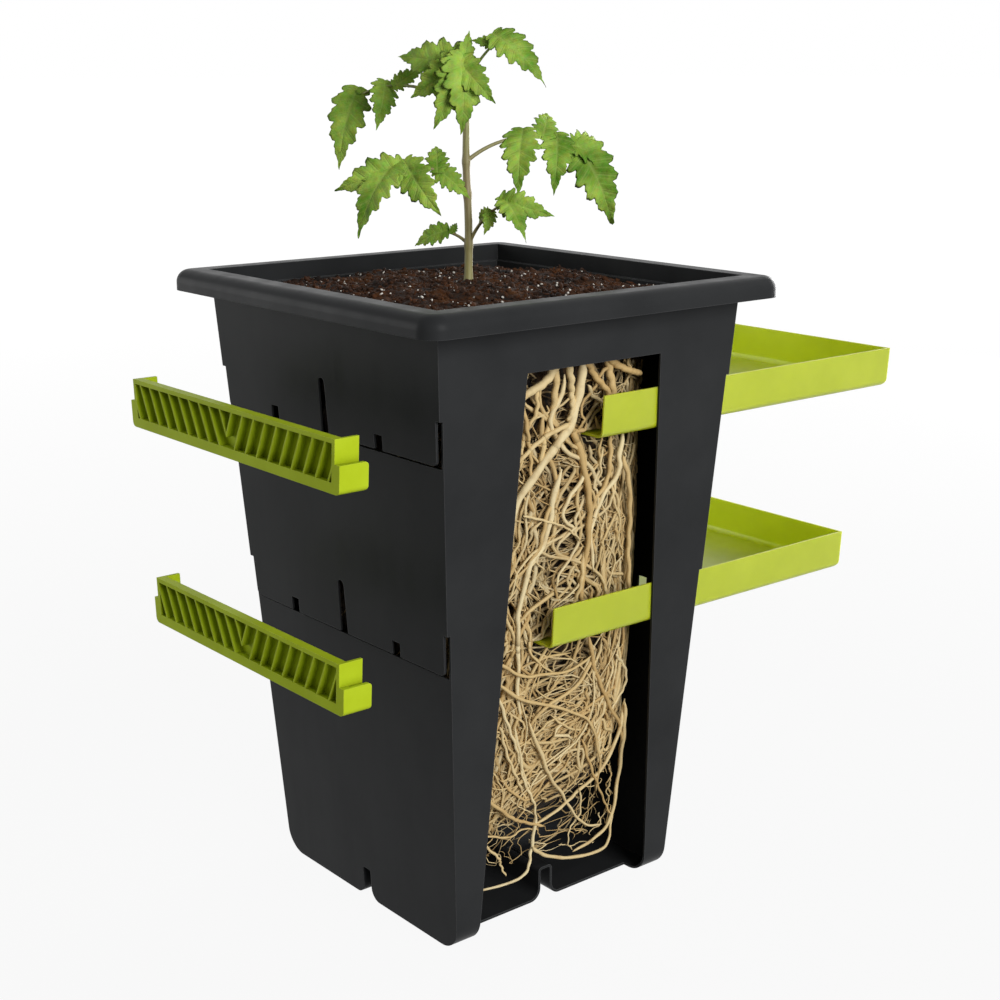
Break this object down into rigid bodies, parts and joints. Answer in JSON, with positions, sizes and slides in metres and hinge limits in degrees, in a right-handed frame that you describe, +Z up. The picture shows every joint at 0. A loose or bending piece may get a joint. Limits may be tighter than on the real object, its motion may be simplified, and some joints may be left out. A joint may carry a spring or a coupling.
{
  "type": "tiered plant pot",
  "caption": "Tall square plant pot in stacked tiers, with shallow trays that slide through slots in its side walls, ribbed end caps and a cut-away front window showing soil and roots.",
  "frame": {"origin": "centre of the pot's base, on the ground", "axes": "+Z up, -Y the front with the window, +X the way the trays pull out"},
  "size_m": [0.5145, 0.308, 0.6126],
  "materials": {
    "pot_plastic": "satin moulded black",
    "tray_plastic": "glossy lime green",
    "soil": "moist dark potting soil",
    "roots": "pale fibrous roots",
    "stem": "fresh green stem",
    "leaf": "soft green leaf"
  },
  "bodies": {
    "pot": {"pot_body": "pot_plastic", "soil": "soil", "root_ball_top": "roots", "root_ball_middle": "roots", "root_ball_bottom": "roots", "stem": "stem", "leaf_low_left": "leaf", "leaf_low_right": "leaf", "leaf_middle_left": "leaf", "leaf_middle_right": "leaf", "leaf_upper_left": "leaf", "leaf_upper_right": "leaf", "leaf_crown": "leaf"},
    "upper_tray": {"upper_tray": "tray_plastic"},
    "lower_tray": {"lower_tray": "tray_plastic"},
    "upper_end_cap": {"upper_end_cap": "tray_plastic"},
    "lower_end_cap": {"lower_end_cap": "tray_plastic"}
  },
  "joints": [
    {"name": "upper_tray_slide", "type": "slide", "parent": "pot", "child": "upper_tray", "axis": [1, 0, 0], "range_m": [-0.1808, 0.12]},
    {"name": "lower_tray_slide", "type": "slide", "parent": "pot", "child": "lower_tray", "axis": [1, 0, 0], "range_m": [-0.1575, 0.1435]},
    {"name": "upper_cap_push", "type": "slide", "parent": "pot", "child": "upper_end_cap", "axis": [1, 0, 0], "range_m": [0, 0.0255]},
    {"name": "lower_cap_push", "type": "slide", "parent": "pot", "child": "lower_end_cap", "axis": [1, 0, 0], "range_m": [-0.012, 0.0088]}
  ]
}
